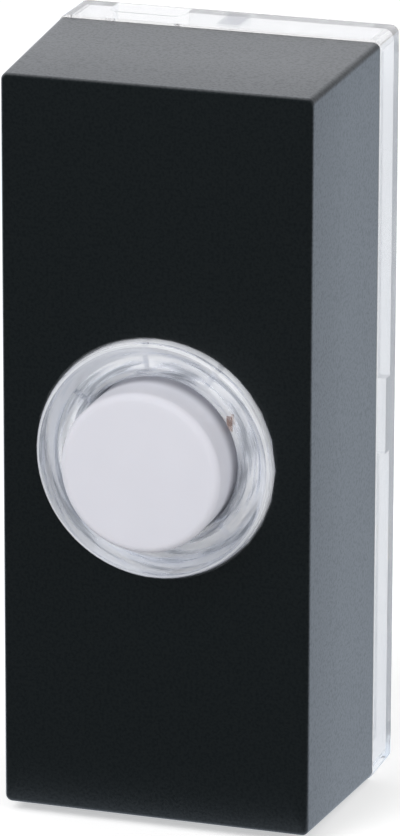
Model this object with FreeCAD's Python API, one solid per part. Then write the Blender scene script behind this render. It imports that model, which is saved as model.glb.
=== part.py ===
import FreeCAD, Part
import math
import os

from FreeCAD import Vector

# Wired doorbell push button with a lit surround: a black cover that snaps onto a clear base,
# a clear light-guide ring in the cover, and a white sprung button that bridges two contacts.
# Lengths are in millimetres. Every piece is drawn lying on its back, with Z measured out from
# the wall, X to the right and Y up the door frame. It is turned upright on output, so that the
# front faces -Y, the top is +Z, and the origin is the centre of the face against the wall.

# Housing. Its width is the ring's and a border of black face on each side.
height = 72.0
depth = 24.75
ring_border = 4.25
base_edge = 6.15
draft = 0.6
cover_corner = 0.65
front_fillet = 0.6
seam_gap = 0.05
cover_wall = 1.7
front_wall = 2.0
inner_corner = 0.5

# Base tray: a plate, a thin wall round its edge, proud of the cover at its top and bottom ends,
# and inside that wall the lip that the cover slides over
plate = 1.2
base_ledge = 0.2
base_corner = 0.8
edge_wall = 0.9
lip_wall = 1.1
lip_gap = 0.15
lip_height = 3.4
rear_bevel = 0.15

# Snap beads on the cover's side walls, and their grooves in the lip
bead_proud = 0.35
bead_length = 8.0
bead_y = 20.0
bead_height = 1.9
groove_gap = 0.12

# Wall fixing: two upright slots on the centre line
slot_from_end = 8.0
slot_width = 4.2
slot_length = 6.6
slot_rim = 1.3
slot_rim_height = 2.0

# Cable entries: a hole through the plate, and a knock-out in the top edge for a surface cable
cable_hole_radius = 3.5
cable_hole_y = -11.5
knockout_left = 3.7
knockout_width = 7.35
knockout_height = 3.1
knockout_length = 8.0
knockout_round = 1.2
knockout_skin = 0.5

# Small forms of the tray
tie_rib_width = 2.0
tie_rib_right = 0.0
tie_rib_drop = 0.9
wall_tie_bottom = -4.8
wall_tie_length = 7.4
wall_tie_height = 1.3
release_width = 6.0
release_height = 1.0
release_depth = 1.6

# Button
button_radius = 7.65
button_proud = 4.85
button_fillet = 0.8
button_wall = 1.1
button_face = 1.4
button_gap = 0.2
flange_width = 0.7
flange_thickness = 1.2
stop_gap = 0.1
travel = 1.6
stem_radius = 2.4
stem_below_flange = 0.6
stem_rib = 0.9
stem_rib_gap = 0.6
spigot_radius = 1.2
stake_radius = 1.6
stake_height = 0.7

# Light-guide ring
guide_wall = 0.8
guide_depth = 4.8
channel_width = 1.3
channel_depth = 1.5
skirt_wall = 1.4
skirt_depth = 7.2
ring_gap = 0.12
ring_proud = 1.03
crest_inset = 0.6
shoulder_height = 0.25
throat_width = 0.5
throat_height = 0.3
ring_flange_width = 1.2
ring_flange_thickness = 1.4
ring_rib_angles = (57, 97, 145, 315)
ring_rib_width = 0.5
ring_rib_root = 0.4
key_gap = 0.2

# Hooks in the cover that hold the ring
hook_width = 6.0
hook_thickness = 1.2
hook_gap = 0.1
barb = 0.5
barb_height = 0.85
barb_gap = 0.05

# Contacts
strip_thickness = 0.6
strip_width = 3.0
strip_bend = 0.7
bridge_end_gap = 1.5
pad_margin = 0.2
leg_margin = 0.4
closed_gap = 0.05
bridge_thickness = 0.5
bridge_width = 4.0
bridge_overlap = 0.3
fit_gap = 0.05

# Terminals
terminal_from_wall = 4.85
terminal_below_board = 4.5
block_size = 8.0
block_height = 4.8
tab_size = 6.2
nut_size = 5.5
nut_height = 2.0
nut_gap = 0.1
thread_radius = 1.5
thread_gap = 0.05
washer_size = 6.4
washer_thickness = 0.8
washer_bore_gap = 0.15
head_radius = 2.9
head_height = 1.9
head_slot_width = 0.8
head_slot_depth = 0.9
screw_length = 5.0

# Return spring
spring_radius = 2.0
spring_wire = 0.45
spring_turns = 6
steps_per_turn = 8
wire_sides = 8
spring_seat_height = 5.8
seat_radius = 3.0
seat_rib = 1.2
guide_pin_gap = 0.3
guide_pin_height = 4.0

# Light board and what it carries
board_gap = 0.35
board_beyond_hole = 7.2
board_thickness = 1.2
board_corner = 1.5
board_hole_gap = 0.4
led_count = 4
led_length = 3.5
led_width = 2.8
led_height = 1.9
led_bevel = 0.2
led_gap = 1.9
post_from_edge = 2.0
post_size = 3.4
post_pin_radius = 0.9
post_pin_rise = 0.6
board_screw_radius = 1.0
board_screw_length = 6.0
board_head_radius = 2.0
board_head_height = 1.4
pin_radius = 0.4
pin_from_edge = 2.2
pin_rise = 1.2
rectifier_length = 4.7
rectifier_width = 3.8
rectifier_height = 1.6
rectifier_leg = 0.7
rectifier_leg_reach = 1.0
rectifier_leg_height = 0.25
rectifier_from_edge = 3.1
resistor_from_edge = 3.8
resistor_length = 6.3
resistor_width = 3.1
resistor_height = 0.7
resistor_cap = 0.6
resistor_recess = 0.1

# Levels, measured out from the wall
cover_rear = base_edge + seam_gap
front_inside = depth - front_wall
lip_top = base_edge + lip_height
bead_level = base_edge + bead_height
guide_end = depth - guide_depth
skirt_end = depth - skirt_depth
channel_top = depth - channel_depth
ring_flange_bottom = front_inside - ring_flange_thickness
button_front = depth + button_proud
button_inside = button_front - button_face
flange_top = guide_end - stop_gap
flange_bottom = flange_top - flange_thickness
bridge_top = flange_bottom - stem_below_flange
bridge_bottom = bridge_top - bridge_thickness
pad_top = bridge_bottom - travel - closed_gap
pad_bottom = pad_top - strip_thickness
spring_seat = plate + spring_seat_height
block_top = plate + block_height
strip_top = block_top + strip_thickness
board_top = skirt_end - led_gap - led_height
board_bottom = board_top - board_thickness

# Radii from the middle of the button outwards
guide_bore = button_radius + button_gap
guide_outer = guide_bore + guide_wall
skirt_bore = guide_outer + channel_width
ring_radius = skirt_bore + skirt_wall
ring_flange_radius = ring_radius + ring_flange_width
cover_hole_radius = ring_radius + ring_gap
button_flange_radius = guide_outer + flange_width
board_hole_radius = button_flange_radius + board_hole_gap

# Overall width, and the half sizes of the tray's inside
width = 2 * (ring_radius + ring_border)
lip_inset = cover_wall + lip_gap
tray_inset = lip_inset + lip_wall
tray_half_x = width / 2 - tray_inset
tray_half_y = height / 2 - tray_inset

# Places on the plate and on the board
screw_spacing = height - 2 * slot_from_end
board_half_x = tray_half_x - board_gap
board_half_y = board_hole_radius + board_beyond_hole
post_x = board_half_x - post_from_edge
post_y = board_half_y - post_from_edge
led_radius = board_hole_radius + led_width / 2
contact_x = skirt_bore - bridge_end_gap - bridge_overlap - strip_width / 2
pad_reach = bridge_width / 2 + pad_margin
leg_y = -bridge_width / 2 - leg_margin
terminal_x = tray_half_x - terminal_from_wall
terminal_y = -board_half_y - terminal_below_board
pin_y = pin_from_edge - board_half_y
rectifier_y = board_half_y - rectifier_from_edge
resistor_y = resistor_from_edge - board_half_y

# A cut starts this far outside the face that it goes through. A form that grows out of a wall
# starts this far inside it.
overcut = 1.0
root = 0.5

# Flat steps that stand for a quarter of a round edge on a turned piece
round_steps = 2

up = Vector(0, 0, 1)


def rounded_rectangle(half_x, half_y, radius, z):
    """Closed outline with arcs at its corners, in the plane at height z."""
    corners = [(half_x, half_y), (-half_x, half_y), (-half_x, -half_y), (half_x, -half_y)]
    arcs = []
    for quarter, (x, y) in enumerate(corners):
        centre = Vector(x - math.copysign(radius, x), y - math.copysign(radius, y), z)
        arcs.append(Part.makeCircle(radius, centre, up, 90 * quarter, 90 * quarter + 90))
    edges = []
    for arc, following in zip(arcs, arcs[1:] + arcs[:1]):
        start = arc.valueAt(arc.LastParameter)
        end = following.valueAt(following.FirstParameter)
        edges += [arc, Part.makeLine(start, end)]
    return Part.Wire(edges)


def rounded_block(half_x, half_y, radius, z0, z1):
    outline = rounded_rectangle(half_x, half_y, radius, z0)
    return Part.Face(outline).extrude(Vector(0, 0, z1 - z0))


def box(x0, x1, y0, y1, z0, z1):
    return Part.makeBox(x1 - x0, y1 - y0, z1 - z0, Vector(x0, y0, z0))


def disc(radius, z0, z1, x=0.0, y=0.0):
    return Part.makeCylinder(radius, z1 - z0, Vector(x, y, z0), up)


def turned(points):
    """Solid of revolution about Z from its half outline, as (radius, height) corners."""
    outline = Part.makePolygon([Vector(r, 0, z) for r, z in points + points[:1]])
    return Part.Face(outline).revolve(Vector(0, 0, 0), up, 360)


def quarter_round(radius, z, across, rise):
    """Corners of a rounded outer edge, from its side up to its top at the given radius."""
    angles = [math.pi / 2 * step / round_steps for step in range(round_steps + 1)]
    return [(radius + across * math.cos(angle), z + rise * math.sin(angle)) for angle in angles]


def housing_half(z, inset):
    """Half width and half height of the housing at height z, inside its surface by inset."""
    lean = draft * max(0.0, z - base_edge) / (depth - base_edge)
    return width / 2 - lean - inset, height / 2 - lean - inset


def housing_block(inset, radius, z0, z1):
    """Block with the housing's lean, from height z0 to z1, its leaning corners round."""
    rear_x, rear_y = housing_half(z0, inset)
    front_x, front_y = housing_half(z1, inset)
    block = Part.makeWedge(-rear_x, z0, -rear_y, -front_y, -front_x,
                           rear_x, z1, rear_y, front_y, front_x)
    block = block.rotate(Vector(0, 0, 0), Vector(1, 0, 0), 90)
    leaning = [e for e in block.Edges if abs(e.Vertexes[0].Z - e.Vertexes[1].Z) > (z1 - z0) / 2]
    return block.makeFillet(radius, leaning)


def edges_at(shape, z):
    return [e for e in shape.Edges if all(abs(v.Z - z) < 1e-6 for v in e.Vertexes)]


def snap_bead(side, y, extra):
    """Ridge of triangular section along a side wall, larger by extra in every direction."""
    wall = housing_half(bead_level, cover_wall)[0]
    tip = wall - bead_proud - extra
    foot = wall + root
    half_base = foot - tip + extra
    profile = [(foot, bead_level - half_base), (foot, bead_level + half_base), (tip, bead_level)]
    start = y - bead_length / 2 - extra
    corners = [Vector(side * x, start, z) for x, z in profile]
    ridge = Part.Face(Part.makePolygon(corners + corners[:1]))
    return ridge.extrude(Vector(0, bead_length + 2 * extra, 0))


def bead_places():
    return [(side, y) for side in (-1, 1) for y in (-bead_y, bead_y)]


def ring_hook(side):
    """Springy hook behind the cover's front that catches the ring's flange."""
    inner = ring_flange_radius + hook_gap
    barb_top = ring_flange_bottom - barb_gap
    profile = [
        (inner, front_inside + root),
        (inner + hook_thickness, front_inside + root),
        (inner + hook_thickness, barb_top - barb_height),
        (inner, barb_top - barb_height),
        (inner - barb, barb_top - barb),
        (inner - barb, barb_top),
        (inner, barb_top),
    ]
    corners = [Vector(-hook_width / 2, side * y, z) for y, z in profile]
    outline = Part.makePolygon(corners + corners[:1])
    return Part.Face(outline).extrude(Vector(hook_width, 0, 0))


def make_cover():
    outside = housing_block(0.0, cover_corner, cover_rear, depth)
    outside = outside.makeFillet(front_fillet, edges_at(outside, depth))
    inside = housing_block(cover_wall, inner_corner, cover_rear, front_inside)
    cover = outside.cut(inside)
    cover = cover.cut(disc(cover_hole_radius, front_inside - overcut, depth + overcut))
    cover = cover.fuse([ring_hook(side) for side in (-1, 1)])
    return cover.fuse([snap_bead(side, y, 0.0) for side, y in bead_places()])


def wall_slot(y, radius, length, z0, z1):
    """Upright slot shape on the centre line, its ends round."""
    reach = length / 2 - radius
    ends = [disc(radius, z0, z1, 0, y + end) for end in (-reach, reach)]
    return box(-radius, radius, y - reach, y + reach, z0, z1).fuse(ends)


def knock_out():
    """Recess behind the thin skin that is broken out for a surface cable, and its way in."""
    left = -width / 2 + knockout_left
    right = left + knockout_width
    skin = height / 2 + base_ledge - knockout_skin
    under_edge = box(left, right, tray_half_y - overcut, skin, -overcut, knockout_height)
    sides = [e for e in edges_at(under_edge, knockout_height)
             if abs(e.Vertexes[0].X - e.Vertexes[1].X) < 1e-6]
    under_edge = under_edge.makeFillet(knockout_round, sides)
    through_plate = rounded_block(knockout_width / 2, knockout_length / 2, knockout_round,
                                  -overcut, plate + overcut)
    middle = Vector((left + right) / 2, tray_half_y - knockout_length / 2 + knockout_round, 0)
    return under_edge.fuse(through_plate.translate(middle))


def edge_groove():
    """Space between the tray's outer wall and its lip."""
    outer = rounded_block(width / 2 - edge_wall, height / 2 + base_ledge - edge_wall,
                          inner_corner, plate, base_edge + overcut)
    return outer.cut(rounded_block(width / 2 - lip_inset, height / 2 - lip_inset,
                                   inner_corner, plate - overcut, base_edge + 2 * overcut))


def wall_tie(side):
    """Low rib that ties a long side of the outer wall to the lip."""
    ends = sorted((side * (tray_half_x + root), side * (width / 2 - edge_wall + root)))
    return box(ends[0], ends[1], wall_tie_bottom, wall_tie_bottom + wall_tie_length,
               plate - root, plate + wall_tie_height)


def contact_support(side):
    """Post under a contact pad."""
    half = strip_width / 2
    middle = side * contact_x
    return box(middle - half, middle + half, leg_y + strip_bend, pad_reach,
               plate - root, pad_bottom)


def terminal_block(side):
    """Block that holds a square nut under the terminal strip."""
    half = block_size / 2
    x, y = side * terminal_x, terminal_y
    block = box(x - half, x + half, y - half, y + half, plate - root, block_top)
    nut_half = nut_size / 2 + nut_gap
    pocket = box(x - nut_half, x + nut_half, y - nut_half, y + nut_half,
                 block_top - nut_height - nut_gap, block_top)
    shank_end = strip_top + washer_thickness - screw_length
    hole = disc(thread_radius + washer_bore_gap, shank_end - nut_gap, block_top, x, y)
    return block.cut([pocket, hole])


def board_posts():
    """Places of the light board's posts. The first and last take a screw, the others a pin."""
    places = [(sx * post_x, sy * post_y) for sy in (-1, 1) for sx in (-1, 1)]
    return [(places[0], True), (places[1], False), (places[2], False), (places[3], True)]


def board_post(place, screwed):
    x, y = place
    half = post_size / 2
    post = box(x - half, x + half, y - half, y + half, plate - root, board_bottom)
    if screwed:
        bore_end = board_top - board_screw_length - thread_gap
        return post.cut(disc(board_screw_radius + thread_gap, bore_end, board_bottom, x, y))
    return post.fuse(disc(post_pin_radius, board_bottom - root, board_top + post_pin_rise, x, y))


def spring_post():
    """Crossed ribs that the spring stands on, and the pin inside the coil."""
    half = seat_rib / 2
    across = box(-seat_radius, seat_radius, -half, half, plate - root, spring_seat)
    along = box(-half, half, -seat_radius, seat_radius, plate - root, spring_seat)
    guide_pin = disc(spring_radius - spring_wire / 2 - guide_pin_gap,
                     plate - root, spring_seat + guide_pin_height)
    return across.fuse([along, guide_pin])


def make_base():
    tray = rounded_block(width / 2, height / 2 + base_ledge, base_corner, 0, base_edge)
    tray = tray.makeChamfer(rear_bevel, edges_at(tray, 0))
    tray = tray.fuse(housing_block(lip_inset, inner_corner, base_edge, lip_top))
    tray = tray.cut([edge_groove(), rounded_block(tray_half_x, tray_half_y, inner_corner,
                                                  plate, lip_top + overcut)])
    slot_places = [-screw_spacing / 2, screw_spacing / 2]
    rim_radius = slot_width / 2 + slot_rim
    rim_length = slot_length + 2 * slot_rim
    tie_top = base_edge - tie_rib_drop
    added = [wall_slot(y, rim_radius, rim_length, plate - root, plate + slot_rim_height)
             for y in slot_places]
    added.append(box(tie_rib_right - tie_rib_width, tie_rib_right, screw_spacing / 2 + slot_width,
                     tray_half_y + root, plate - root, tie_top))
    added += [wall_tie(side) for side in (-1, 1)]
    added += [contact_support(side) for side in (-1, 1)]
    added += [terminal_block(side) for side in (-1, 1)]
    added += [board_post(place, screwed) for place, screwed in board_posts()]
    added.append(spring_post())
    removed = [wall_slot(y, slot_width / 2, slot_length, -overcut, base_edge)
               for y in slot_places]
    removed.append(disc(cable_hole_radius, -overcut, plate + overcut, 0, cable_hole_y))
    removed.append(knock_out())
    removed += [snap_bead(side, y, groove_gap) for side, y in bead_places()]
    removed.append(box(-release_width / 2, release_width / 2,
                       -height / 2 - overcut, -height / 2 + release_depth,
                       base_edge - release_height, base_edge + overcut))
    return tray.fuse(added).cut(removed)


def make_ring():
    crest_radius = ring_radius - crest_inset
    throat_radius = guide_bore + throat_width
    crest_rise = ring_proud - shoulder_height
    points = [
        (ring_radius, skirt_end),
        (ring_radius, ring_flange_bottom),
        (ring_flange_radius, ring_flange_bottom),
        (ring_flange_radius, front_inside),
        (ring_radius, front_inside),
    ]
    points += quarter_round(crest_radius, depth + shoulder_height, crest_inset, crest_rise)
    points += [
        (throat_radius, depth + throat_height),
        (guide_bore, depth + throat_height - throat_width),
        (guide_bore, guide_end),
        (guide_outer, guide_end),
        (guide_outer, channel_top),
        (skirt_bore, channel_top),
        (skirt_bore, skirt_end),
    ]
    return turned(points).fuse([ring_rib(angle, 0.0) for angle in ring_rib_angles])


def ring_rib(angle, extra):
    """Rib across the ring's channel, wider by extra on each side. The button slides on them."""
    half = ring_rib_width / 2 + extra
    inner = guide_outer - ring_rib_root - extra
    rib = box(inner, skirt_bore + ring_rib_root, -half, half,
              skirt_end, channel_top + ring_rib_root)
    return rib.rotate(Vector(0, 0, 0), up, angle)


def make_button():
    inside = button_radius - button_wall
    edge = quarter_round(button_radius - button_fillet, button_front - button_fillet,
                         button_fillet, button_fillet)
    cap = turned([
        (0, button_inside),
        (0, button_front),
        *reversed(edge),
        (button_radius, flange_top),
        (button_flange_radius, flange_top),
        (button_flange_radius, flange_bottom),
        (inside, flange_bottom),
        (inside, button_inside),
    ])
    stem = disc(stem_radius, bridge_top, button_inside + root)
    spigot = disc(spigot_radius, bridge_bottom - stake_height, bridge_top + root)
    stake = disc(stake_radius, bridge_bottom - stake_height, bridge_bottom)
    half = stem_rib / 2
    reach = inside + root
    rib_end = flange_top + stem_rib_gap
    along = box(-reach, reach, -half, half, rib_end, button_inside + root)
    across = box(-half, half, -reach, reach, rib_end, button_inside + root)
    keyways = [ring_rib(angle, key_gap) for angle in ring_rib_angles]
    return cap.cut(keyways).fuse([stem, along, across, spigot, stake])


def make_bridge():
    half = contact_x + strip_width / 2 + bridge_overlap
    bridge = box(-half, half, -bridge_width / 2, bridge_width / 2, bridge_bottom, bridge_top)
    return bridge.cut(disc(spigot_radius + fit_gap, bridge_bottom - overcut,
                           bridge_top + overcut))


def bent_path(points, radii):
    """Straight runs in the YZ plane, joined by a tangent arc at each corner between them."""
    corners = [Vector(0, y, z) for y, z in points]
    edges = []
    start = corners[0]
    for before, corner, after, radius in zip(corners, corners[1:], corners[2:], radii):
        into = (before - corner).normalize() * radius
        out = (after - corner).normalize() * radius
        centre = corner + into + out
        middle = centre + (corner - centre).normalize() * radius
        edges.append(Part.makeLine(start, corner + into))
        edges.append(Part.Arc(corner + into, middle, corner + out).toShape())
        start = corner + out
    edges.append(Part.makeLine(start, corners[-1]))
    return Part.Wire(edges)


def bent_strip(points, radii, thickness, x0, x1):
    """Metal strip between x0 and x1. The path is its underside, and turns square corners."""
    section = bent_path(points, radii).makeOffset2D(-thickness, 0, True, True, True)
    return section.translate(Vector(x0, 0, 0)).extrude(Vector(x1 - x0, 0, 0))


def make_contact(side):
    """Brass strip from a terminal to the pad under the button."""
    half = strip_width / 2
    middle = side * contact_x
    tab_half = tab_size / 2
    points = [
        (terminal_y - tab_half, block_top),
        (leg_y, block_top),
        (leg_y, pad_bottom),
        (pad_reach, pad_bottom),
    ]
    radii = [strip_bend + strip_thickness, strip_bend]
    strip = bent_strip(points, radii, strip_thickness, middle - half, middle + half)
    tab = box(-tab_half, tab_half, -tab_half, tab_half, block_top, strip_top)
    strip = strip.fuse(tab.translate(Vector(side * terminal_x, terminal_y, 0)))
    screw_hole = disc(thread_radius + washer_bore_gap, block_top - overcut,
                      strip_top + overcut, side * terminal_x, terminal_y)
    pin_hole = disc(pin_radius + fit_gap, block_top - overcut, strip_top + overcut,
                    middle, pin_y)
    return strip.cut([screw_hole, pin_hole])


def slotted_screw(x, y, seat, radius, length, head, head_rise):
    """Slotted cheese-head screw with its head on seat and its shank towards the wall."""
    top = seat + head_rise
    crown = disc(head, seat, top, x, y)
    screw = crown.fuse(disc(radius, seat - length, seat, x, y))
    slot_half = head_slot_width / 2
    slot = box(x - head - overcut, x + head + overcut, y - slot_half, y + slot_half,
               top - head_slot_depth * head_rise / head_height, top + overcut)
    return screw.cut(slot)


def make_terminal_screws():
    seat = strip_top + washer_thickness
    return [slotted_screw(side * terminal_x, terminal_y, seat, thread_radius - thread_gap,
                          screw_length, head_radius, head_height) for side in (-1, 1)]


def square_plate(side, size, hole, z0, z1):
    square = box(-size / 2, size / 2, -size / 2, size / 2, z0, z1)
    square = square.cut(disc(hole, z0 - overcut, z1 + overcut))
    return square.translate(Vector(side * terminal_x, terminal_y, 0))


def make_terminal_nuts():
    bottom = block_top - nut_height - nut_gap
    return [square_plate(side, nut_size, thread_radius, bottom, bottom + nut_height)
            for side in (-1, 1)]


def make_clamp_washers():
    return [square_plate(side, washer_size, thread_radius + washer_bore_gap,
                         strip_top, strip_top + washer_thickness) for side in (-1, 1)]


def coil_level(turn, rise):
    """Height of the wire above its start. The first and last turns are closed."""
    closed_pitch = spring_wire + fit_gap
    open_turns = spring_turns - 2
    if turn < 1:
        return closed_pitch * turn
    if turn > spring_turns - 1:
        return rise - closed_pitch * (spring_turns - turn)
    return closed_pitch + (rise - 2 * closed_pitch) * (turn - 1) / open_turns


def make_spring():
    """Coil between the post's shoulder and the contact bridge, lofted along its turns."""
    half_wire = spring_wire / 2
    rise = bridge_bottom - spring_seat - spring_wire
    sections = []
    for step in range(spring_turns * steps_per_turn + 1):
        turn = step / steps_per_turn
        angle = 2 * math.pi * turn
        level = spring_seat + half_wire + coil_level(turn, rise)
        corners = []
        for side in range(wire_sides):
            around = 2 * math.pi * (side + 0.5) / wire_sides
            reach = spring_radius + half_wire * math.cos(around)
            height_here = level + half_wire * math.sin(around)
            corners.append(Vector(reach * math.cos(angle), reach * math.sin(angle), height_here))
        sections.append(Part.makePolygon(corners + corners[:1]))
    return Part.makeLoft(sections, True, True)


def make_board():
    board = rounded_block(board_half_x, board_half_y, board_corner, board_bottom, board_top)
    holes = [(board_hole_radius, 0, 0)]
    for (x, y), screwed in board_posts():
        radius = board_screw_radius if screwed else post_pin_radius
        holes.append((radius + washer_bore_gap, x, y))
    for side in (-1, 1):
        holes.append((pin_radius + fit_gap, side * contact_x, pin_y))
    return board.cut([disc(radius, board_bottom - overcut, board_top + overcut, x, y)
                      for radius, x, y in holes])


def make_board_screws():
    return [slotted_screw(x, y, board_top, board_screw_radius, board_screw_length,
                          board_head_radius, board_head_height)
            for (x, y), screwed in board_posts() if screwed]


def make_board_pins():
    """Tinned pins that bring current up from the contact strips to the board."""
    return [disc(pin_radius, block_top + fit_gap, board_top + pin_rise, side * contact_x, pin_y)
            for side in (-1, 1)]


def make_led(number):
    angle = 360 / led_count * (number + 0.5)
    top = board_top + led_height
    led = box(-led_width / 2, led_width / 2, -led_length / 2, led_length / 2, board_top, top)
    led = led.makeChamfer(led_bevel, edges_at(led, top))
    led = led.translate(Vector(led_radius, 0, 0))
    return led.rotate(Vector(0, 0, 0), up, angle)


def make_rectifier():
    half_x, half_y = rectifier_length / 2, rectifier_width / 2
    body = box(-half_x, half_x, -half_y, half_y, board_top + rectifier_leg_height / 2,
               board_top + rectifier_height)
    body = body.makeChamfer(rectifier_leg_height, edges_at(body, board_top + rectifier_height))
    legs = []
    for sx in (-1, 1):
        x = sx * half_x / 2
        legs.append(box(x - rectifier_leg / 2, x + rectifier_leg / 2,
                        -half_y - rectifier_leg_reach, half_y + rectifier_leg_reach,
                        board_top, board_top + rectifier_leg_height))
    return body.fuse(legs).translate(Vector(0, rectifier_y, 0))


def make_resistor():
    """Chip resistor: a flat body between two slightly thicker end caps."""
    half_x, half_y = resistor_length / 2, resistor_width / 2
    body = box(-half_x, half_x, -half_y, half_y, board_top, board_top + resistor_height)
    waist = half_x - resistor_cap
    top = board_top + resistor_height
    recess = box(-waist, waist, -half_y - overcut, half_y + overcut,
                 top - resistor_recess, top + overcut)
    return body.cut(recess).translate(Vector(0, resistor_y, 0))


def export(name, shape):
    """Turn a piece, or a group of separate pieces, upright and write it as its own node."""
    solids = shape if isinstance(shape, list) else [shape]
    placed = []
    for solid in solids:
        solid = solid.removeSplitter()
        placed += solid.rotate(Vector(0, 0, 0), Vector(1, 0, 0), 90).Solids
    whole = placed[0] if len(placed) == 1 else Part.makeCompound(placed)
    whole.exportStep("parts/" + name + ".step")
    print(name, len(placed), "solids", round(sum(s.Volume for s in placed), 2), "mm3",
          "valid" if all(s.isValid() for s in placed) else "NOT VALID")


os.makedirs("parts", exist_ok=True)
export("cover", make_cover())
export("base", make_base())
export("surround_ring", make_ring())
export("button_cap", make_button())
export("contact_bridge", make_bridge())
export("return_spring", make_spring())
export("contact_left", make_contact(-1))
export("contact_right", make_contact(1))
export("terminal_screws", make_terminal_screws())
export("terminal_nuts", make_terminal_nuts())
export("clamp_washers", make_clamp_washers())
export("light_board", make_board())
export("board_screws", make_board_screws())
export("board_pins", make_board_pins())
for number in range(led_count):
    export("led_%d" % (number + 1), make_led(number))
export("rectifier", make_rectifier())
export("resistor", make_resistor())
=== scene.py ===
import math

import bmesh
import bpy
from mathutils import Matrix, Vector


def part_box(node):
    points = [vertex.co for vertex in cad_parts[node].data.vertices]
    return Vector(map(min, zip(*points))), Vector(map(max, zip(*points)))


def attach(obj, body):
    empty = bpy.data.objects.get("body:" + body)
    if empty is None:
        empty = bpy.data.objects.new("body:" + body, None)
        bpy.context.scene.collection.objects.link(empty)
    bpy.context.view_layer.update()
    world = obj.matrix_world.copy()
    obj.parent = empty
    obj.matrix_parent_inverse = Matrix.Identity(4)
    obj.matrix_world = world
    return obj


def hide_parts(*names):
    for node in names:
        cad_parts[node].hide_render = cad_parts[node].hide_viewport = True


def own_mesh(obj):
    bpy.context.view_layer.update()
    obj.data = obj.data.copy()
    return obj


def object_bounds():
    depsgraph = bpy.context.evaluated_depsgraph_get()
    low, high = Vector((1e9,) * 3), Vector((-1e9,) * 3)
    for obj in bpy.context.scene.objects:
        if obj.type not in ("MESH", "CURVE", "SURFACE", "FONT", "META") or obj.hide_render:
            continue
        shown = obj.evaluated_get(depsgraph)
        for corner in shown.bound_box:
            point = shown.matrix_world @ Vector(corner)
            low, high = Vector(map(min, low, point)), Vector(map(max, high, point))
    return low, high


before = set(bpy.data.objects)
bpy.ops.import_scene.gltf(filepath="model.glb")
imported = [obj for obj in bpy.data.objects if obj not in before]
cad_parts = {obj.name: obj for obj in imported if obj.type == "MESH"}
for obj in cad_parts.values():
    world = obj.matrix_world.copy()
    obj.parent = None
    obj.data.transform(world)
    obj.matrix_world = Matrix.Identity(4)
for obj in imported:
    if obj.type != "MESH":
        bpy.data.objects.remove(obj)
cad_low, cad_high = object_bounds()

# Lengths are in metres. X is to the viewer's right, the front faces -Y, and Z is up the door
# frame. A depth is measured out from the wall, so it is -Y.
mm = 0.001

# Cover
cover_low, cover_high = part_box("cover")
cover_front = -cover_low.y
cover_rear = -cover_high.y
cover_half_x = cover_high.x
cover_half_z = cover_high.z
cover_lean = 0.77 * mm
cover_corner = 0.65 * mm
cover_fillet = 0.35 * mm
cover_wall = 1.7 * mm
cover_front_wall = 2.0 * mm
cover_inner_corner = 0.5 * mm
cover_rear_edge = 0.12 * mm
hole_edge = 0.12 * mm
fillet_steps = 6
corner_steps = 8
side_steps = 6
front_inside = cover_front - cover_front_wall

# Ring
ring_low, ring_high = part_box("surround_ring")
ring_flange_radius = ring_high.x
ring_flange_width = 1.2 * mm
ring_radius = ring_flange_radius - ring_flange_width
ring_crest = -ring_low.y
ring_end = -ring_high.y
ring_gap = 0.12 * mm
ring_flange_thickness = 1.4 * mm
crest_inset = 0.6 * mm
crest_round = (0.25 * mm, 0.04 * mm)
shoulder = 0.25 * mm
skirt_wall = 1.4 * mm
channel_width = 1.3 * mm
channel_depth = 1.5 * mm
guide_wall = 0.8 * mm
guide_depth = 4.8 * mm
throat_width = 0.5 * mm
throat_height = 0.3 * mm
throat_round = (0.15 * mm, 0.03 * mm)
skirt_bore = ring_radius - skirt_wall
guide_outer = skirt_bore - channel_width
guide_bore = guide_outer - guide_wall
rib_angles = (57, 97, 145, 315)
rib_width = 0.5 * mm
rib_root = 0.4 * mm
key_gap = 0.2 * mm

# Parts of the ring's crest with a milkier finish of their own, as distances outside its top line:
# the upright side, and a line round the rim, whose whiter tone is a painted highlight
upright_from = 0.5 * mm
rim_from, rim_to = 0.1 * mm, 0.4 * mm

# Hooks behind the cover's front that hold the ring, and the cover's snap ridges
hook_width = 6.0 * mm
hook_thickness = 1.2 * mm
hook_gap = 0.1 * mm
barb = 0.5 * mm
barb_height = 0.85 * mm
barb_gap = 0.05 * mm
bead_proud = 0.35 * mm
bead_length = 8.0 * mm
bead_from_middle = 20.0 * mm
bead_from_rear = 1.85 * mm
root = 0.3 * mm

# Button
button_low, button_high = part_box("button_cap")
button_front = -button_low.y
button_stake_end = -button_high.y
button_flange_radius = button_high.x
button_gap = 0.2 * mm
button_radius = guide_bore - button_gap
button_fillet = 0.8 * mm
button_wall = 1.1 * mm
button_face = 1.4 * mm
stop_gap = 0.1 * mm
flange_thickness = 1.2 * mm
stem_below_flange = 0.6 * mm
flange_top = cover_front - guide_depth - stop_gap
flange_bottom = flange_top - flange_thickness
bridge_top = flange_bottom - stem_below_flange
bridge_thickness = 0.5 * mm
stem_radius = 2.4 * mm
stem_rib = 0.9 * mm
stem_rib_gap = 0.6 * mm
spigot_radius = 1.2 * mm
stake_radius = 1.6 * mm

# Painted shade on the button's side down in the ring
shaded_depth = 1.9 * mm
shade_tint = (0.3, 0.3, 0.34)

# Spring
spring_low, spring_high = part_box("return_spring")
spring_wire = 0.45 * mm
spring_radius = 2.0 * mm
spring_turns = 6
spring_steps = 24
coil_gap = 0.05 * mm
wire_sides = 10

# Clear plastic, and the middle of the streaks in the ring, which are painted light and shade for
# what its curved walls reflect
clear_ior = 1.58
streak_centre = (0.9 * mm, 0.2 * mm)

# Painted shade where the tie rib under the base's top edge shows through the clear plastic, as a
# grey patch
tie_rib_middle = (0.45 * mm, -2.9 * mm, cover_half_z)
tie_rib_half = (1.1 * mm, 2.1 * mm, 1.5 * mm)
tie_rib_painted_shade = (0.68, 0.69, 0.72)
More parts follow.
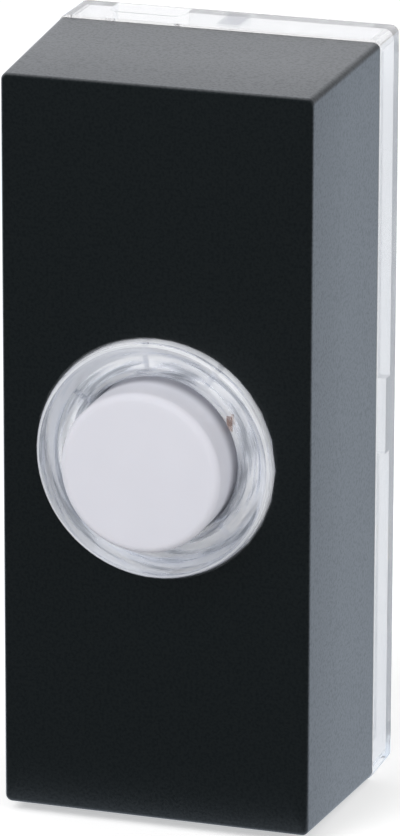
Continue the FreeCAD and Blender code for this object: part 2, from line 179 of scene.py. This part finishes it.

# Painted glint: a copper-coloured reflection painted into the ring at its upper right
painted_glint_middle = (7.2 * mm, -cover_front, 4.2 * mm)
painted_glint_half = (0.3 * mm, 5.0 * mm, 0.75 * mm)
painted_glint_tint = (0.42, 0.30, 0.26)

# Most that a mirrored ray sees of the room, and how far to the right it grows dimmer
mirror_level = 0.9
dimmed_from, dimmed_to = 0, 0.4

# Steps round a turned piece
around = 192


def at(radius, depth, angle):
    """Point at a radius and an angle round the button's axis, and a depth from the wall."""
    return Vector((radius * math.cos(angle), -depth, radius * math.sin(angle)))


def finish_mesh(name, bm, sharp_degrees, body, nodes):
    """Object from a bmesh, smooth but for its sharp edges, riding on its body."""
    bmesh.ops.remove_doubles(bm, verts=bm.verts, dist=1e-7)
    bmesh.ops.recalc_face_normals(bm, faces=bm.faces)
    mesh = bpy.data.meshes.new(name)
    bm.to_mesh(mesh)
    bm.free()
    mesh.shade_smooth()
    mesh.set_sharp_from_angle(angle=math.radians(sharp_degrees))
    piece = bpy.data.objects.new(name, mesh)
    bpy.context.scene.collection.objects.link(piece)
    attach(piece, body)
    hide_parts(*nodes)
    return piece


def bridge_loops(bm, loops, closed=False):
    """Quads between neighbouring closed loops of as many points."""
    pairs = list(zip(loops, loops[1:]))
    if closed:
        pairs.append((loops[-1], loops[0]))
    for near, far in pairs:
        count = len(near)
        for i in range(count):
            j = (i + 1) % count
            bm.faces.new((near[i], near[j], far[j], far[i]))


def arc(centre_radius, centre_depth, across, rise, start, end, steps):
    """Points on an elliptical arc of an outline, angles in degrees from outwards to forwards."""
    points = []
    for i in range(steps + 1):
        a = math.radians(start + (end - start) * i / steps)
        points.append((centre_radius + across * math.cos(a), centre_depth + rise * math.sin(a)))
    return points


def stations(half_width):
    """Angles round a turned piece, and which spans between them lie in a rib or keyway."""
    spans = [(math.radians(a) - half_width, math.radians(a) + half_width) for a in rib_angles]
    edges = [edge for span in spans for edge in span]
    step = 2 * math.pi / around
    # An even step that comes too near an edge is left out
    angles = [step * i for i in range(around)
              if all(abs(step * i - edge) > 0.3 * step for edge in edges)]
    angles = sorted(angles + edges)
    inside = []
    for near, far in zip(angles, angles[1:] + [angles[0] + 2 * math.pi]):
        middle = (near + far) / 2
        inside.append(any(low < middle < high for low, high in spans))
    return angles, inside


def turn_keyed(bm, plain, keyed, cap, half_width, finish):
    """Turned piece whose outline changes at the rib angles, where the cap closes the step."""
    angles, inside = stations(half_width)
    made = {}

    def vert(station, point):
        station %= len(angles)
        key = (station, point) if point[0] > 0 else point
        if key not in made:
            made[key] = bm.verts.new(at(*point, angles[station]))
        return made[key]

    for station, in_key in enumerate(inside):
        outline = keyed if in_key else plain
        for p, q in zip(outline, outline[1:] + outline[:1]):
            corners = list(dict.fromkeys([vert(station, p), vert(station, q),
                                          vert(station + 1, q), vert(station + 1, p)]))
            if len(corners) > 2:
                bm.faces.new(corners).material_index = finish(p, q)
        if in_key != inside[station - 1]:
            bm.faces.new([vert(station, p) for p in cap]).material_index = finish(cap[0], cap[1])


def add_prism(bm, near, far):
    """Closed prism between two outlines of as many points."""
    ends = [[bm.verts.new(p) for p in outline] for outline in (near, far)]
    bm.faces.new(ends[0])
    bm.faces.new(ends[1][::-1])
    bridge_loops(bm, ends)


def rectangle_loop(half_x, half_z, radius, depth):
    """Points of a rounded rectangle, from the middle of the right side round to the left."""
    points = []
    corners = ((1, 1, 0), (-1, 1, 90), (-1, -1, 180), (1, -1, 270))
    for sx, sz, start in corners:
        cx, cz = sx * (half_x - radius), sz * (half_z - radius)
        for i in range(corner_steps + 1):
            a = math.radians(start + 90 * i / corner_steps)
            points.append((cx + radius * math.cos(a), cz + radius * math.sin(a)))
    filled = []
    for i, (x, z) in enumerate(points):
        filled.append((x, z))
        if i % (corner_steps + 1) == corner_steps:
            nx, nz = points[(i + 1) % len(points)]
            steps = side_steps * (3 if abs(nz - z) > abs(nx - x) else 1)
            for k in range(1, steps):
                filled.append((x + (nx - x) * k / steps, z + (nz - z) * k / steps))
    return [Vector((x, -depth, z)) for x, z in filled]


def cover_half(depth):
    """Half width and half height of the cover's outside at a depth."""
    lean = cover_lean * (depth - cover_rear) / (cover_front - cover_rear)
    return cover_half_x - lean, cover_half_z - lean


def make_cover():
    """Leaning box, open at the back, with the ring's hole, its hooks and the snap ridges."""
    bm = bmesh.new()
    outline = []

    def add(inset, radius, depth):
        half_x, half_z = cover_half(depth)
        outline.append(rectangle_loop(half_x - inset, half_z - inset, radius, depth))

    add(cover_wall, cover_inner_corner, front_inside)
    add(cover_wall, cover_inner_corner, cover_rear)
    add(cover_rear_edge, cover_corner - cover_rear_edge, cover_rear)
    add(0, cover_corner, cover_rear + cover_rear_edge)
    add(0, cover_corner, (cover_rear + cover_front) / 2)
    for i in range(fillet_steps + 1):
        a = math.pi / 2 * i / fillet_steps
        inset = cover_fillet * (1 - math.cos(a))
        add(inset, cover_corner - inset, cover_front - cover_fillet * (1 - math.sin(a)))
    loops = [[bm.verts.new(p) for p in loop] for loop in outline]
    front = outline[-1]
    hole = ring_radius + ring_gap

    def hole_loop(radius, depth):
        return [bm.verts.new(at(radius, depth, math.atan2(p.z, p.x))) for p in front]

    loops.append(hole_loop(hole + hole_edge, cover_front))
    loops.append(hole_loop(hole, cover_front - hole_edge))
    loops.append(hole_loop(hole, front_inside))
    bridge_loops(bm, loops, closed=True)
    for side in (-1, 1):
        add_hook(bm, side)
        for z in (-bead_from_middle, bead_from_middle):
            add_bead(bm, side, z)
    return finish_mesh("cover_shell", bm, 35, "housing", ["cover"])


def add_hook(bm, side):
    """Springy hook behind the cover's front that catches the ring's flange."""
    inner = ring_flange_radius + hook_gap
    outer = inner + hook_thickness
    top = front_inside - ring_flange_thickness - barb_gap
    profile = [(inner, front_inside + root), (outer, front_inside + root),
               (outer, top - barb_height), (inner, top - barb_height),
               (inner - barb, top - barb), (inner - barb, top), (inner, top)]
    ends = [[Vector((x, -depth, side * z)) for z, depth in profile]
            for x in (-hook_width / 2, hook_width / 2)]
    add_prism(bm, *ends)


def add_bead(bm, side, z):
    """Snap ridge of triangular section inside a side wall."""
    depth = cover_rear + bead_from_rear
    foot = cover_half(depth)[0] - cover_wall + root
    rise = bead_proud + root
    profile = [(foot, depth - rise), (foot, depth + rise), (foot - rise, depth)]
    ends = [[Vector((side * x, -d, z + end)) for x, d in profile]
            for end in (-bead_length / 2, bead_length / 2)]
    add_prism(bm, *ends)


def make_ring():
    """Light guide: clear in front, its back frosted to spread the light, ribs in its channel."""
    bm = bmesh.new()
    flange_rear = front_inside - ring_flange_thickness
    crest_radius = ring_radius - crest_inset
    throat_radius = guide_bore + throat_width
    channel_top = cover_front - channel_depth
    guide_end = cover_front - guide_depth
    rib_inner = guide_outer - rib_root
    shared = [
        (skirt_bore, ring_end),
        (ring_radius, ring_end),
        (ring_radius, flange_rear),
        (ring_flange_radius, flange_rear),
        (ring_flange_radius, front_inside),
        (ring_radius, front_inside),
    ]
    crest_rise = ring_crest - cover_front - shoulder
    shared += arc(crest_radius, cover_front + shoulder, crest_inset, crest_rise,
                  start=0, end=90, steps=10)
    shared.append((crest_radius - crest_round[0], ring_crest - crest_round[1]))
    shared.append((throat_radius + throat_round[0],
                   cover_front + throat_height + throat_round[1]))
    shared += arc(throat_radius, cover_front + throat_height - throat_width,
                  -throat_width, throat_width, start=90, end=0, steps=6)
    shared += [(guide_bore, guide_end), (rib_inner, guide_end)]
    channel = [(guide_outer, guide_end), (guide_outer, channel_top), (skirt_bore, channel_top)]
    rib_end = (rib_inner, ring_end)

    def finish(p, q):
        """Slot of a face: 0 for the clear front, 1 for the back, 2 for the outer edge."""
        if max(p[1], q[1]) < cover_front and max(p[0], q[0]) > guide_bore:
            return 1
        outside = min(p[0], q[0]) - crest_radius
        return 2 if outside > upright_from or rim_from < outside < rim_to else 0

    turn_keyed(bm, shared + channel, shared + [rib_end],
               [(rib_inner, guide_end)] + channel + [(skirt_bore, ring_end), rib_end],
               rib_width / 2 / guide_outer, finish)
    return finish_mesh("light_ring", bm, 28, "housing", ["surround_ring"])


def make_button():
    """Hollow button with keyways in its flange, a stem on crossed ribs and a staked spigot."""
    bm = bmesh.new()
    inside = button_radius - button_wall
    button_inside = button_front - button_face
    keyway_floor = guide_outer - rib_root - key_gap
    shared = [(0, button_front), (button_radius - 2 * button_fillet, button_front)]
    shared += arc(button_radius - button_fillet, button_front - button_fillet,
                  button_fillet, button_fillet, start=90, end=0, steps=8)
    shared += [(button_radius, flange_top), (keyway_floor, flange_top)]
    flange = [(button_flange_radius, flange_top), (button_flange_radius, flange_bottom)]
    behind = [
        (keyway_floor, flange_bottom),
        (inside, flange_bottom),
        (inside, button_inside),
        (stem_radius, button_inside),
        (stem_radius, bridge_top),
        (spigot_radius, bridge_top),
        (spigot_radius, bridge_top - bridge_thickness),
        (stake_radius, bridge_top - bridge_thickness),
        (stake_radius, button_stake_end),
        (0, button_stake_end),
    ]
    turn_keyed(bm, shared + flange + behind, shared + behind,
               [(keyway_floor, flange_top)] + flange + [(keyway_floor, flange_bottom)],
               (rib_width / 2 + key_gap) / button_flange_radius, lambda p, q: 0)
    rib_end = flange_top + stem_rib_gap
    for half_x, half_z in ((inside + root, stem_rib / 2), (stem_rib / 2, inside + root)):
        corners = ((-half_x, -half_z), (half_x, -half_z), (half_x, half_z), (-half_x, half_z))
        ends = [[Vector((x, -depth, z)) for x, z in corners]
                for depth in (rib_end, button_inside + root)]
        add_prism(bm, *ends)
    return finish_mesh("button", bm, 35, "button", ["button_cap"])


def make_spring():
    """Coil with closed ends. Its rear end stays on its post as the button goes in."""
    bm = bmesh.new()
    rear, front = -spring_high.y, -spring_low.y
    half_wire = spring_wire / 2
    rise = front - rear - spring_wire
    closed_pitch = spring_wire + coil_gap
    loops = []
    for step in range(spring_turns * spring_steps + 1):
        turn = step / spring_steps
        if turn < 1:
            level = closed_pitch * turn
        elif turn > spring_turns - 1:
            level = rise - closed_pitch * (spring_turns - turn)
        else:
            level = closed_pitch + (rise - 2 * closed_pitch) * (turn - 1) / (spring_turns - 2)
        loop = []
        for side in range(wire_sides):
            a = 2 * math.pi * side / wire_sides
            loop.append(bm.verts.new(at(spring_radius + half_wire * math.cos(a),
                                        rear + half_wire * (1 + math.sin(a)) + level,
                                        2 * math.pi * turn)))
        loops.append(loop)
    bridge_loops(bm, loops)
    bm.faces.new(loops[0])
    bm.faces.new(loops[-1][::-1])
    spring = finish_mesh("coil", bm, 40, "housing", ["return_spring"])
    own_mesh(spring)
    return spring


def tree_of(name):
    """New material with an empty node tree but for its shader and output."""
    material = bpy.data.materials.new(name)
    material.use_nodes = True
    nodes = material.node_tree.nodes
    return material, nodes, material.node_tree.links, nodes["Principled BSDF"]


def object_place(nodes):
    """Place in the object's own space."""
    return nodes.new("ShaderNodeTexCoord").outputs["Object"]


def split_place(nodes, links, coordinate="Object"):
    """X, Y and Z of a place, by name."""
    split = nodes.new("ShaderNodeSeparateXYZ")
    links.new(nodes.new("ShaderNodeTexCoord").outputs[coordinate], split.inputs[0])
    return split.outputs


def noise_at(nodes, links, place, scale, detail, roughness=0.5):
    """Noise from 0 to 1 over any place or vector."""
    noise = nodes.new("ShaderNodeTexNoise")
    noise.inputs["Scale"].default_value = scale
    noise.inputs["Detail"].default_value = detail
    noise.inputs["Roughness"].default_value = roughness
    links.new(place, noise.inputs["Vector"])
    return noise.outputs["Fac"]


def object_noise(nodes, links, scale, detail, roughness=0.5):
    """Noise fixed to the object, scale in features per metre."""
    return noise_at(nodes, links, object_place(nodes), scale, detail, roughness)


def calculate(nodes, links, operation, *values):
    """Result of a Math node. Each value is a socket or a number."""
    node = nodes.new("ShaderNodeMath")
    node.operation = operation
    for value, socket in zip(values, node.inputs):
        if isinstance(value, bpy.types.NodeSocket):
            links.new(value, socket)
        else:
            socket.default_value = value
    return node.outputs[0]


def smooth(nodes, links, value, start, end, low, high):
    """Value from low to high, as the given one goes from start to end."""
    step = nodes.new("ShaderNodeMapRange")
    step.interpolation_type = "SMOOTHSTEP"
    step.inputs["From Min"].default_value = start
    step.inputs["From Max"].default_value = end
    step.inputs["To Min"].default_value = low
    step.inputs["To Max"].default_value = high
    links.new(value, step.inputs["Value"])
    return step.outputs["Result"]


def is_ray(nodes, links, *kinds):
    """One for a ray of any of the kinds named, else zero."""
    path = nodes.new("ShaderNodeLightPath").outputs
    found = 0
    for kind in kinds:
        found = calculate(nodes, links, "MAXIMUM", found, path[f"Is {kind} Ray"])
    return found


def between(nodes, links, value, low, high):
    """Value from 0 to 1, spread between low and high."""
    spread = nodes.new("ShaderNodeMapRange")
    spread.inputs["To Min"].default_value = low
    spread.inputs["To Max"].default_value = high
    links.new(value, spread.inputs["Value"])
    return spread.outputs["Result"]


def colours(nodes, links, value, stops):
    """Colour ramp over a value, from (position, colour) stops."""
    ramp = nodes.new("ShaderNodeValToRGB")
    elements = ramp.color_ramp.elements
    while len(elements) < len(stops):
        elements.new(0.5)
    for element, (place, colour) in zip(elements, stops):
        element.position = place
        element.color = (*colour, 1)
    links.new(value, ramp.inputs["Fac"])
    return ramp.outputs["Color"]


def bump(nodes, links, shader, value, strength, distance, before=None):
    """Bump on a shader, over an earlier bump if there is one."""
    node = nodes.new("ShaderNodeBump")
    node.inputs["Strength"].default_value = strength
    node.inputs["Distance"].default_value = distance
    links.new(value, node.inputs["Height"])
    if before is not None:
        links.new(before, node.inputs["Normal"])
    links.new(node.outputs["Normal"], shader.inputs["Normal"])
    return node.outputs["Normal"]


def black_plastic():
    """Spark-eroded mould texture in near-black plastic."""
    material, nodes, links, shader = tree_of("black_plastic")
    fine = object_noise(nodes, links, scale=3600, detail=3, roughness=0.6)
    broad = object_noise(nodes, links, scale=420, detail=3)
    colour = colours(nodes, links, fine,
                     [(0.4, (0.004, 0.008, 0.010)), (0.6, (0.006, 0.011, 0.013))])
    links.new(colour, shader.inputs["Base Color"])
    links.new(between(nodes, links, fine, 0.2, 0.52), shader.inputs["Roughness"])
    shader.inputs["IOR"].default_value = 1.8
    gloss = colours(nodes, links, fine, [(0.38, (0.15, 0.15, 0.15)), (0.55, (0.72, 0.72, 0.72))])
    links.new(gloss, shader.inputs["Coat Weight"])
    shader.inputs["Coat Roughness"].default_value = 0.35
    first = bump(nodes, links, shader, fine, strength=0.9, distance=0.04 * mm)
    bump(nodes, links, shader, broad, strength=0.15, distance=0.03 * mm, before=first)
    return material


def within(nodes, links, middle, half):
    """One inside a box given by its middle and half sizes in the object's space, else zero."""
    place = split_place(nodes, links)
    inside = 1
    for axis, centre, reach in zip("XYZ", middle, half):
        near = calculate(nodes, links, "COMPARE", place[axis], centre, reach)
        inside = calculate(nodes, links, "MULTIPLY", inside, near)
    return inside


def tinted(nodes, links, colour, amount, tint):
    """Colour drawn towards another one."""
    mix = nodes.new("ShaderNodeMix")
    mix.data_type = "RGBA"
    mix.inputs["B"].default_value = (*tint, 1)
    links.new(amount, mix.inputs["Factor"])
    links.new(colour, mix.inputs["A"])
    return mix.outputs["Result"]


def clear_plastic(name, transmission, stops, patch=None):
    """Polished clear polycarbonate with faint flow marks; a patch of painted shade is (middle,
    half, tint).
    """
    material, nodes, links, shader = tree_of(name)
    flow = object_noise(nodes, links, scale=160, detail=2)
    colour = colours(nodes, links, flow, stops)
    if patch:
        middle, half, tint = patch
        colour = tinted(nodes, links, colour, within(nodes, links, middle, half), tint)
    links.new(colour, shader.inputs["Base Color"])
    links.new(between(nodes, links, flow, 0.01, 0.05), shader.inputs["Roughness"])
    shader.inputs["IOR"].default_value = clear_ior
    shader.inputs["Transmission Weight"].default_value = transmission
    bump(nodes, links, shader, flow, strength=0.05, distance=0.05 * mm)
    return material


def swirl(nodes, links, centre, along, across):
    """Noise drawn out into arcs round a centre: features per radian, and per metre of radius."""
    flat = nodes.new("ShaderNodeVectorMath")
    flat.operation = "MULTIPLY_ADD"
    flat.inputs[1].default_value = (1, 0, 1)
    flat.inputs[2].default_value = (-centre[0], 0, -centre[1])
    links.new(object_place(nodes), flat.inputs[0])
    reach = nodes.new("ShaderNodeVectorMath")
    reach.operation = "LENGTH"
    links.new(flat.outputs[0], reach.inputs[0])
    outwards = calculate(nodes, links, "MULTIPLY", reach.outputs["Value"], across)
    rise = nodes.new("ShaderNodeCombineXYZ")
    links.new(outwards, rise.inputs["Y"])
    unit = nodes.new("ShaderNodeVectorMath")
    unit.operation = "NORMALIZE"
    links.new(flat.outputs[0], unit.inputs[0])
    turned = nodes.new("ShaderNodeVectorMath")
    turned.operation = "MULTIPLY_ADD"
    turned.inputs[1].default_value = (along, along, along)
    links.new(unit.outputs[0], turned.inputs[0])
    links.new(rise.outputs[0], turned.inputs[2])
    return noise_at(nodes, links, turned.outputs[0], scale=1, detail=3)


def streaked_plastic(name, transmission, glow, stops):
    """Clear light-guide plastic whose streaks are painted light and shade for what its curved walls
    reflect, with a painted copper glint and painted glow.
    """
    material, nodes, links, shader = tree_of(name)
    painted_streaks = swirl(nodes, links, streak_centre, along=1.8, across=2000)
    # Painted reflections: light and dark arcs in the colour
    colour = colours(nodes, links, painted_streaks, stops)
    # Painted glint: a copper reflection painted into the colour
    glint = within(nodes, links, painted_glint_middle, painted_glint_half)
    colour = tinted(nodes, links, colour, glint, painted_glint_tint)
    links.new(colour, shader.inputs["Base Color"])
    links.new(between(nodes, links, painted_streaks, 0.01, 0.08), shader.inputs["Roughness"])
    shader.inputs["IOR"].default_value = clear_ior
    shader.inputs["Transmission Weight"].default_value = transmission
    # Painted glow: emission on a piece that is no lamp
    shader.inputs["Emission Color"].default_value = (0.86, 0.9, 1, 1)
    shader.inputs["Emission Strength"].default_value = glow
    bump(nodes, links, shader, painted_streaks, strength=0.3, distance=0.05 * mm)
    return material


def white_plastic():
    """White, slightly translucent satin plastic, with painted shade down its side into the ring."""
    material, nodes, links, shader = tree_of("white_plastic")
    fine = object_noise(nodes, links, scale=3500, detail=2)
    broad = object_noise(nodes, links, scale=120, detail=2)
    colour = colours(nodes, links, broad,
                     [(0.3, (0.725, 0.725, 0.79)), (0.7, (0.75, 0.75, 0.815))])
    # Painted shade: the side grows darker as it goes down into the ring
    painted_shade = smooth(nodes, links, split_place(nodes, links)["Y"],
                  start=-cover_front - shaded_depth, end=-cover_front, low=0, high=1)
    colour = tinted(nodes, links, colour, painted_shade, shade_tint)
    links.new(colour, shader.inputs["Base Color"])
    links.new(between(nodes, links, fine, 0.34, 0.42), shader.inputs["Roughness"])
    shader.inputs["Subsurface Weight"].default_value = 0.15
    shader.inputs["Subsurface Radius"].default_value = (1, 0.9, 0.85)
    shader.inputs["Subsurface Scale"].default_value = 0.8 * mm
    bump(nodes, links, shader, fine, strength=0.2, distance=0.008 * mm)
    return material


def metal(name, dark, light, roughness, scale, stretch):
    """Metal with drawn or brushed lines, stretched along one axis."""
    material, nodes, links, shader = tree_of(name)
    mapping = nodes.new("ShaderNodeMapping")
    mapping.inputs["Scale"].default_value = stretch
    links.new(object_place(nodes), mapping.inputs["Vector"])
    lines = noise_at(nodes, links, mapping.outputs["Vector"], scale, detail=4)
    colour = colours(nodes, links, lines, [(0.3, dark), (0.7, light)])
    links.new(colour, shader.inputs["Base Color"])
    links.new(between(nodes, links, lines, roughness, roughness + 0.12), shader.inputs["Roughness"])
    shader.inputs["Metallic"].default_value = 1.0
    bump(nodes, links, shader, lines, strength=0.2, distance=0.01 * mm)
    return material


def moulded(name, dark, light, roughness, scale):
    """Plain opaque resin or laminate with a fine grain."""
    material, nodes, links, shader = tree_of(name)
    grain = object_noise(nodes, links, scale, detail=3)
    colour = colours(nodes, links, grain, [(0.3, dark), (0.7, light)])
    links.new(colour, shader.inputs["Base Color"])
    links.new(between(nodes, links, grain, roughness, roughness + 0.1), shader.inputs["Roughness"])
    bump(nodes, links, shader, grain, strength=0.2, distance=0.01 * mm)
    return material


def dress(node, material):
    """Put a material on a CAD node."""
    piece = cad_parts[node]
    if piece.data.materials:
        piece.material_slots[0].material = material
    else:
        piece.data.materials.append(material)


def make_camera():
    """Camera at the photograph's place, fitted to the edges of the box and the ring."""
    azimuth, elevation, roll = (math.radians(a) for a in (17.893, 17.675, 0.151))
    distance = 613.5 * mm
    aside, above = -0.3585 * mm, -0.266 * mm
    aim_behind_front = 12.08 * mm
    centre = Vector((0, aim_behind_front - cover_front, 0))
    back = Vector((math.sin(azimuth) * math.cos(elevation),
                   -math.cos(azimuth) * math.cos(elevation), math.sin(elevation)))
    right = (-back).cross(Vector((0, 0, 1))).normalized()
    up = right.cross(-back)
    turned_right = math.cos(roll) * right + math.sin(roll) * up
    turned_up = math.cos(roll) * up - math.sin(roll) * right
    camera = bpy.data.objects.new("camera", bpy.data.cameras.new("camera"))
    camera.data.lens = 283.66
    camera.data.sensor_width = 36
    camera.data.clip_start = 0.01
    camera.data.clip_end = 20
    place = centre - aside * turned_right - above * turned_up + distance * back
    basis = Matrix((turned_right, turned_up, back)).transposed().to_4x4()
    camera.matrix_world = Matrix.Translation(place) @ basis
    bpy.context.scene.collection.objects.link(camera)
    bpy.context.scene.camera = camera


def backdrop(nodes, links, coordinate, near, far, sheen, right):
    """White room with a cool sheen, dark in front of the object, its right side at a level of
    its own. The camera and clear plastic see it white.
    """
    place = split_place(nodes, links, coordinate)
    ahead = smooth(nodes, links, place["Y"], near, far, low=0, high=mirror_level)
    aside = smooth(nodes, links, place["X"], dimmed_from, dimmed_to, low=1, high=right)
    mirrored = calculate(nodes, links, "MULTIPLY", ahead, aside)
    straight = is_ray(nodes, links, "Camera", "Transmission")
    level = calculate(nodes, links, "MAXIMUM", mirrored, straight)
    return colours(nodes, links, level,
                   [(0, (0.03, 0.032, 0.034)), (mirror_level, sheen), (1, (1, 1, 1))])


def make_world():
    """The room that mirrors and clear plastic show, and a plainer light for the rest."""
    world = bpy.data.worlds.new("studio")
    bpy.context.scene.world = world
    world.use_nodes = True
    nodes, links = world.node_tree.nodes, world.node_tree.links
    nodes.clear()
    output = nodes.new("ShaderNodeOutputWorld")
    lit = nodes.new("ShaderNodeBackground")
    lit.inputs["Color"].default_value = (1, 1, 1, 1)
    lit.inputs["Strength"].default_value = 0.55
    shown = nodes.new("ShaderNodeBackground")
    room = backdrop(nodes, links, "Generated", near=-0.75, far=0.1,
                    sheen=(0.93, 0.95, 1.0), right=0.4)
    links.new(room, shown.inputs["Color"])
    mix = nodes.new("ShaderNodeMixShader")
    links.new(is_ray(nodes, links, "Camera", "Transmission", "Glossy"), mix.inputs["Fac"])
    links.new(lit.outputs[0], mix.inputs[1])
    links.new(shown.outputs[0], mix.inputs[2])
    links.new(mix.outputs[0], output.inputs["Surface"])


def make_floor():
    """Pale floor that takes the object's shadow and stays white for the camera."""
    reach = 3.0
    bm = bmesh.new()
    corners = [bm.verts.new((x, y, cad_low.z)) for x, y in
               ((-reach, -reach), (reach, -reach), (reach, reach), (-reach, reach))]
    bm.faces.new(corners)
    mesh = bpy.data.meshes.new("floor")
    bm.to_mesh(mesh)
    bm.free()
    floor = bpy.data.objects.new("floor", mesh)
    bpy.context.scene.collection.objects.link(floor)
    material = bpy.data.materials.new("floor")
    material.use_nodes = True
    nodes, links = material.node_tree.nodes, material.node_tree.links
    nodes.clear()
    output = nodes.new("ShaderNodeOutputMaterial")
    room = backdrop(nodes, links, "Object", near=-0.03, far=-0.022,
                    sheen=(0.74, 0.83, 0.95), right=1)
    matt = nodes.new("ShaderNodeBsdfDiffuse")
    matt.inputs["Color"].default_value = (0.82, 0.82, 0.82, 1)
    glow = nodes.new("ShaderNodeEmission")
    glow.inputs["Strength"].default_value = 0.45
    pale = nodes.new("ShaderNodeAddShader")
    links.new(matt.outputs[0], pale.inputs[0])
    links.new(glow.outputs[0], pale.inputs[1])
    mirrored = nodes.new("ShaderNodeEmission")
    links.new(room, mirrored.inputs["Color"])
    plain = nodes.new("ShaderNodeMixShader")
    links.new(is_ray(nodes, links, "Camera"), plain.inputs["Fac"])
    links.new(matt.outputs[0], plain.inputs[1])
    links.new(pale.outputs[0], plain.inputs[2])
    mix = nodes.new("ShaderNodeMixShader")
    links.new(is_ray(nodes, links, "Glossy", "Transmission"), mix.inputs["Fac"])
    links.new(plain.outputs[0], mix.inputs[1])
    links.new(mirrored.outputs[0], mix.inputs[2])
    links.new(mix.outputs[0], output.inputs["Surface"])
    floor.data.materials.append(material)


def area_light(name, place, aim, size, power):
    """Soft lamp that isn't itself mirrored in the object."""
    lamp = bpy.data.lights.new(name, "AREA")
    lamp.shape = "DISK"
    lamp.size = size
    lamp.energy = power
    light = bpy.data.objects.new(name, lamp)
    light.location = place
    light.rotation_mode = "QUATERNION"
    light.rotation_quaternion = (Vector(aim) - Vector(place)).to_track_quat("-Z", "Y")
    light.visible_glossy = False
    bpy.context.scene.collection.objects.link(light)


black = black_plastic()
white = white_plastic()
# The base's patch is painted shade where its tie rib shows through
milky = clear_plastic("base_plastic", transmission=0.8,
                      stops=[(0.3, (0.98, 0.98, 0.995)), (0.7, (0.995, 0.995, 1))],
                      patch=(tie_rib_middle, tie_rib_half, tie_rib_painted_shade))
brass = metal("brass", (0.62, 0.42, 0.17), (0.76, 0.56, 0.26),
              roughness=0.22, scale=900, stretch=(1, 1, 6))
bronze = metal("bronze", (0.60, 0.33, 0.19), (0.74, 0.45, 0.27),
               roughness=0.24, scale=900, stretch=(6, 1, 1))
steel = metal("steel", (0.55, 0.55, 0.56), (0.70, 0.70, 0.71),
              roughness=0.25, scale=1200, stretch=(1, 4, 1))
zinc = metal("zinc", (0.60, 0.61, 0.63), (0.76, 0.77, 0.79),
             roughness=0.28, scale=700, stretch=(1, 1, 1))
laminate = moulded("laminate", (0.80, 0.81, 0.78), (0.87, 0.88, 0.86), roughness=0.35, scale=700)
led_resin = moulded("led_resin", (0.80, 0.74, 0.42), (0.88, 0.83, 0.55), roughness=0.2, scale=600)
chip_resin = moulded("chip_resin", (0.015, 0.015, 0.016), (0.03, 0.03, 0.032),
                     roughness=0.45, scale=1500)

# In the order of the slots that the ring's faces have
ring_finishes = (
    streaked_plastic("ring_front", transmission=0.72, glow=0, stops=[
        (0.36, (0.42, 0.44, 0.47)), (0.47, (0.86, 0.88, 0.93)), (0.56, (1, 1, 1))]),
    # The back glows with painted light, in place of the light that the clear plastic carries to it
    streaked_plastic("ring_back", transmission=0, glow=0.12, stops=[
        (0.36, (0.40, 0.42, 0.45)), (0.47, (0.72, 0.74, 0.79)), (0.58, (0.92, 0.93, 0.95))]),
    # The milkier outer edge; along the rim line its whiter tone is a painted highlight
    clear_plastic("ring_edge", transmission=0.5,
                  stops=[(0.3, (0.95, 0.96, 0.98)), (0.7, (0.98, 0.985, 0.99))]),
)

make_cover().data.materials.append(black)
ring = make_ring()
for plastic in ring_finishes:
    ring.data.materials.append(plastic)
make_button().data.materials.append(white)
make_spring().data.materials.append(steel)
node_materials = {
    "base": milky, "contact_bridge": bronze,
    "contact_left": brass, "contact_right": brass, "terminal_screws": zinc,
    "terminal_nuts": brass, "clamp_washers": zinc, "light_board": laminate,
    "board_screws": zinc, "board_pins": brass, "led_1": led_resin, "led_2": led_resin,
    "led_3": led_resin, "led_4": led_resin, "rectifier": chip_resin, "resistor": chip_resin,
}
for node, material in node_materials.items():
    dress(node, material)

# Light goes through the clear pieces to what is behind them
for piece in (ring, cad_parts["base"]):
    piece.visible_shadow = False

make_camera()
make_world()
make_floor()
area_light("key", place=(-0.35, -0.75, 0.75), aim=(0, 0, 0), size=0.6, power=5.0)
area_light("fill", place=(0.8, -0.3, 0.5), aim=(0, 0, 0), size=0.6, power=2.0)

scene = bpy.context.scene
scene.view_settings.view_transform = "Standard"
